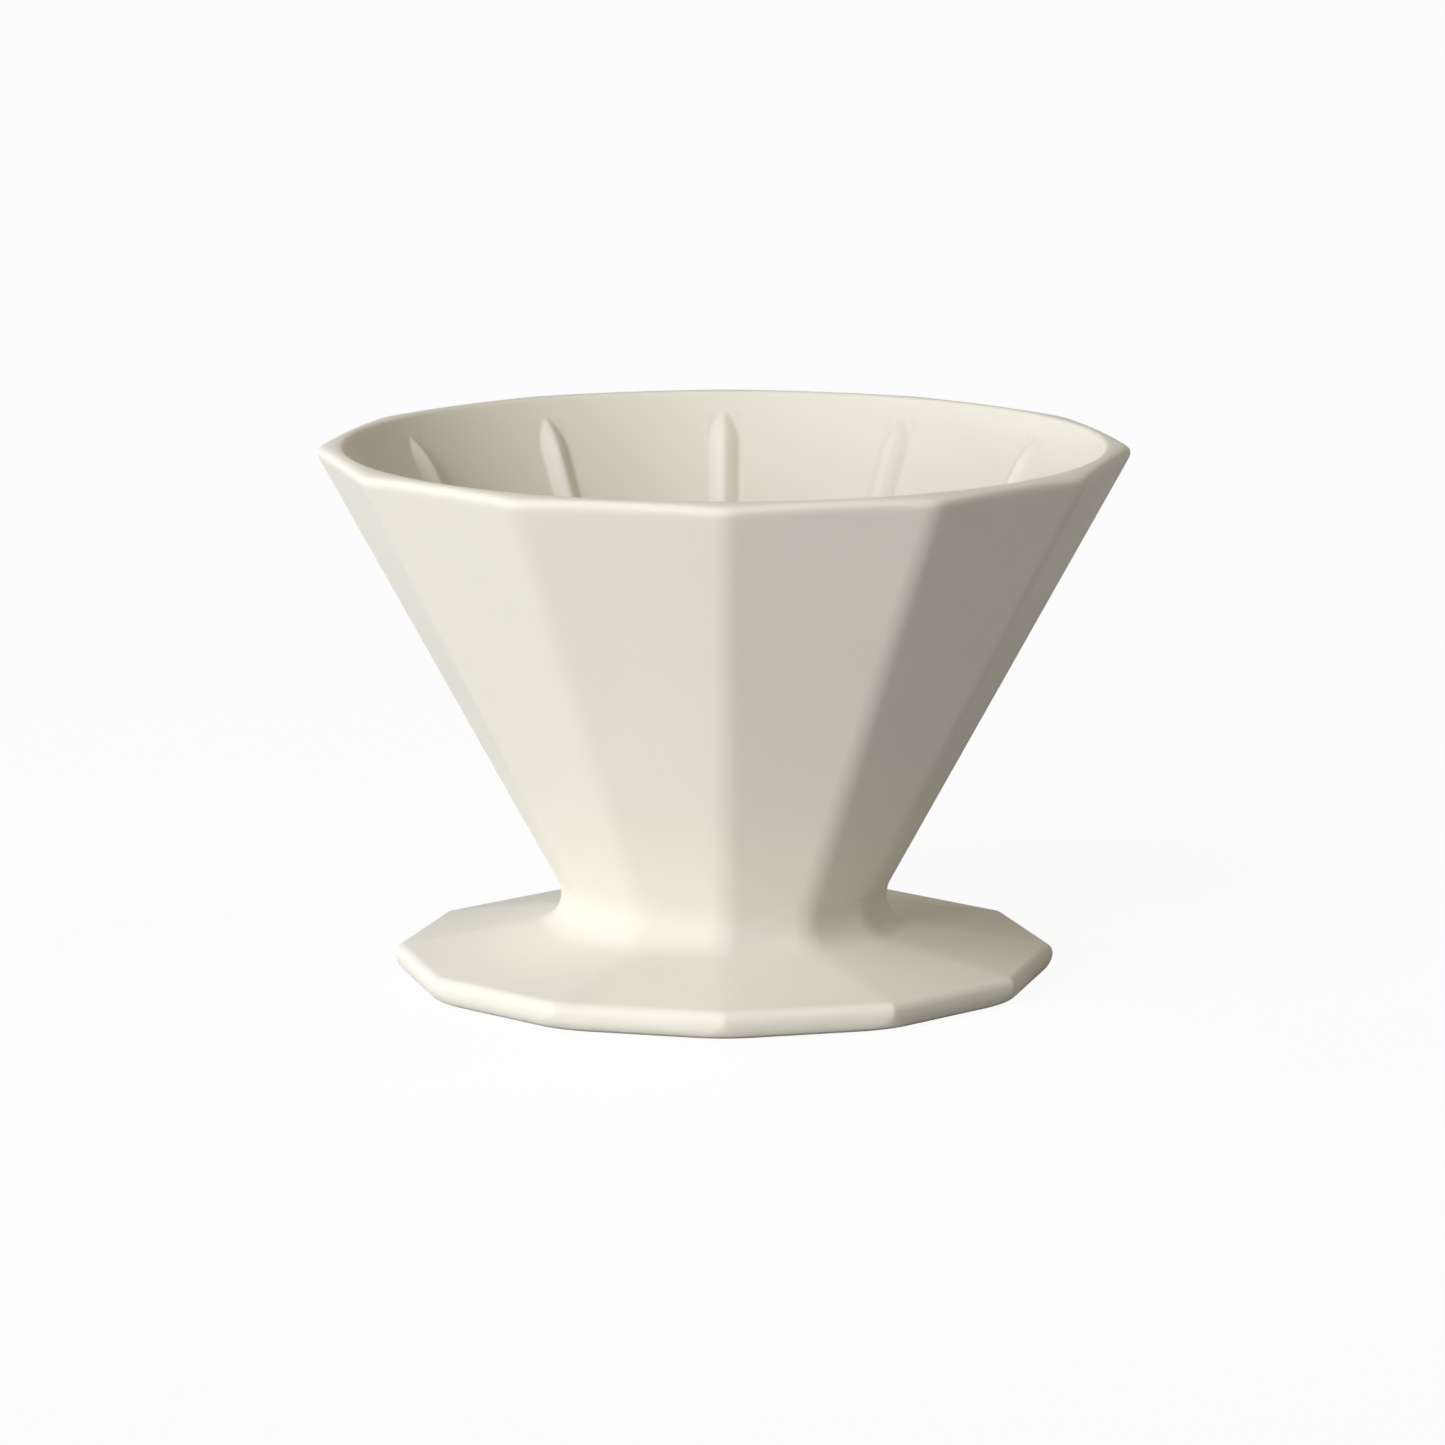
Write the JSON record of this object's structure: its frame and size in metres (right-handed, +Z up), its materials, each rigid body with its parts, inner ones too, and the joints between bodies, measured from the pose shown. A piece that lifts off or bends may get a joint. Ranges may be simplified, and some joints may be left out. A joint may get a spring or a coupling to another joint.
{
  "type": "pour over dripper",
  "caption": "Faceted ceramic cone that holds a paper filter on inner ribs and drains through an open outlet, joined to a faceted saucer that stands on a cup or server.",
  "frame": {"origin": "on the axis of the cone, in the plane of the foot ring that the saucer stands on", "axes": "+Z up along the axis of the cone, -Y towards the corner of the cone that faces the viewer of the picture"},
  "size_m": [0.116, 0.116, 0.0769],
  "materials": {
    "matte_glaze": "satin matte glaze, warm off-white"
  },
  "bodies": {
    "root": {"filter_cone": "matte_glaze", "saucer_base": "matte_glaze"}
  },
  "joints": []
}
